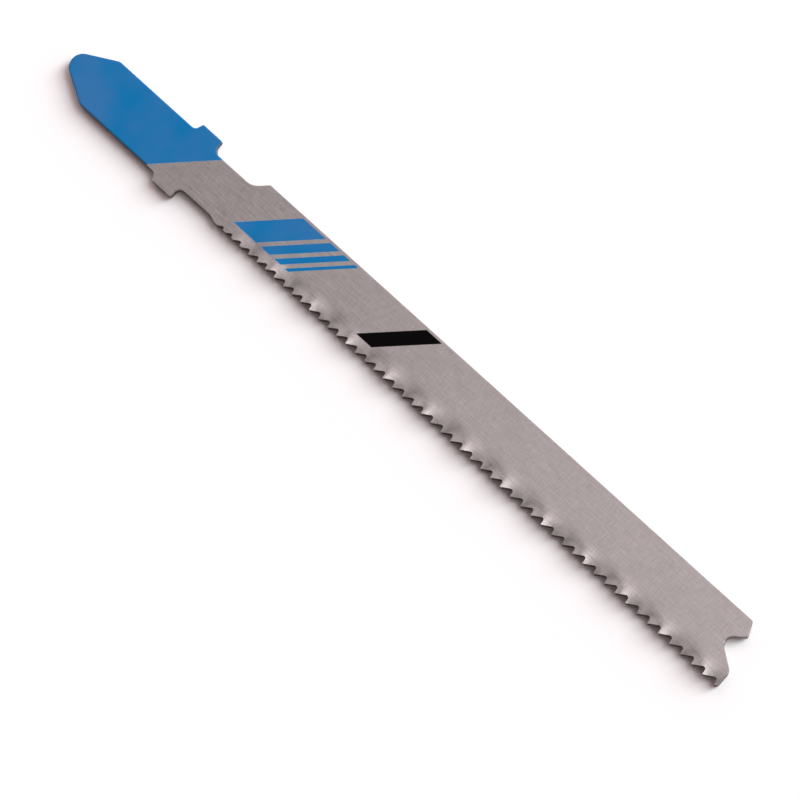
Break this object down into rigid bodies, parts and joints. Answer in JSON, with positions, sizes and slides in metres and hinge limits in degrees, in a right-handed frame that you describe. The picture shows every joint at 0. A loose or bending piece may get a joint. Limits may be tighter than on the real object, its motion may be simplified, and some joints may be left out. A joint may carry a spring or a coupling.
{
  "type": "jigsaw blade",
  "caption": "Flat steel T-shank jigsaw blade for metal, with fine wavy-set teeth along one edge, a pointed nose and a swallowtail free end.",
  "frame": {"origin": "under the middle of the blade's length and width, on the surface that the set teeth rest on", "axes": "+X along the blade from the shank to the free end, -Y towards the teeth, +Z out of the printed side"},
  "size_m": [0.092, 0.0078, 0.0014],
  "materials": {
    "high_speed_steel": "fine lengthwise grinding lines, with printed ink on one side"
  },
  "bodies": {
    "root": {"jigsaw_blade": "high_speed_steel"}
  },
  "joints": []
}
